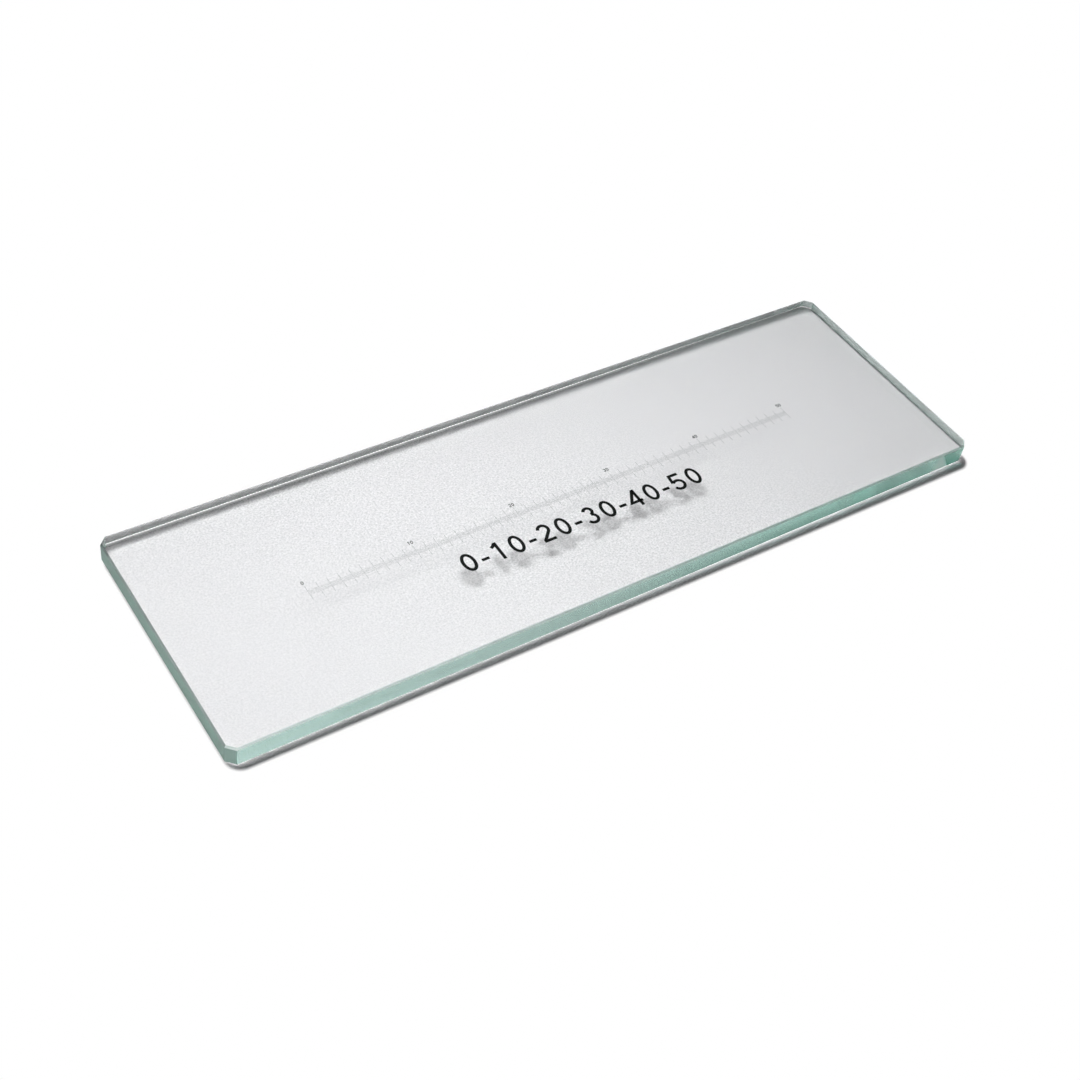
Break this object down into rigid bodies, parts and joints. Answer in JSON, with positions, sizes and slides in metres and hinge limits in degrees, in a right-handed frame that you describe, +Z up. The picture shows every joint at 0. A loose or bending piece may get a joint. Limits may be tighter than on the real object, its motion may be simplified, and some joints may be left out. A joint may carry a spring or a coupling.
{
  "type": "microscope slide",
  "caption": "Clear glass microscope slide with clipped corners and bevelled edges, carrying a fine straight measuring scale of printed lines along its middle.",
  "frame": {"origin": "middle of the underside", "axes": "+X along the slide towards the scale's high end, +Y across it, +Z up out of the printed face"},
  "size_m": [0.076, 0.024, 0.002],
  "materials": {
    "clear_glass": "polished clear glass, green at the edges",
    "dark_film": "thin dark metal film"
  },
  "bodies": {
    "root": {"glass_slide": "clear_glass", "scale_lines": "dark_film"}
  },
  "joints": []
}
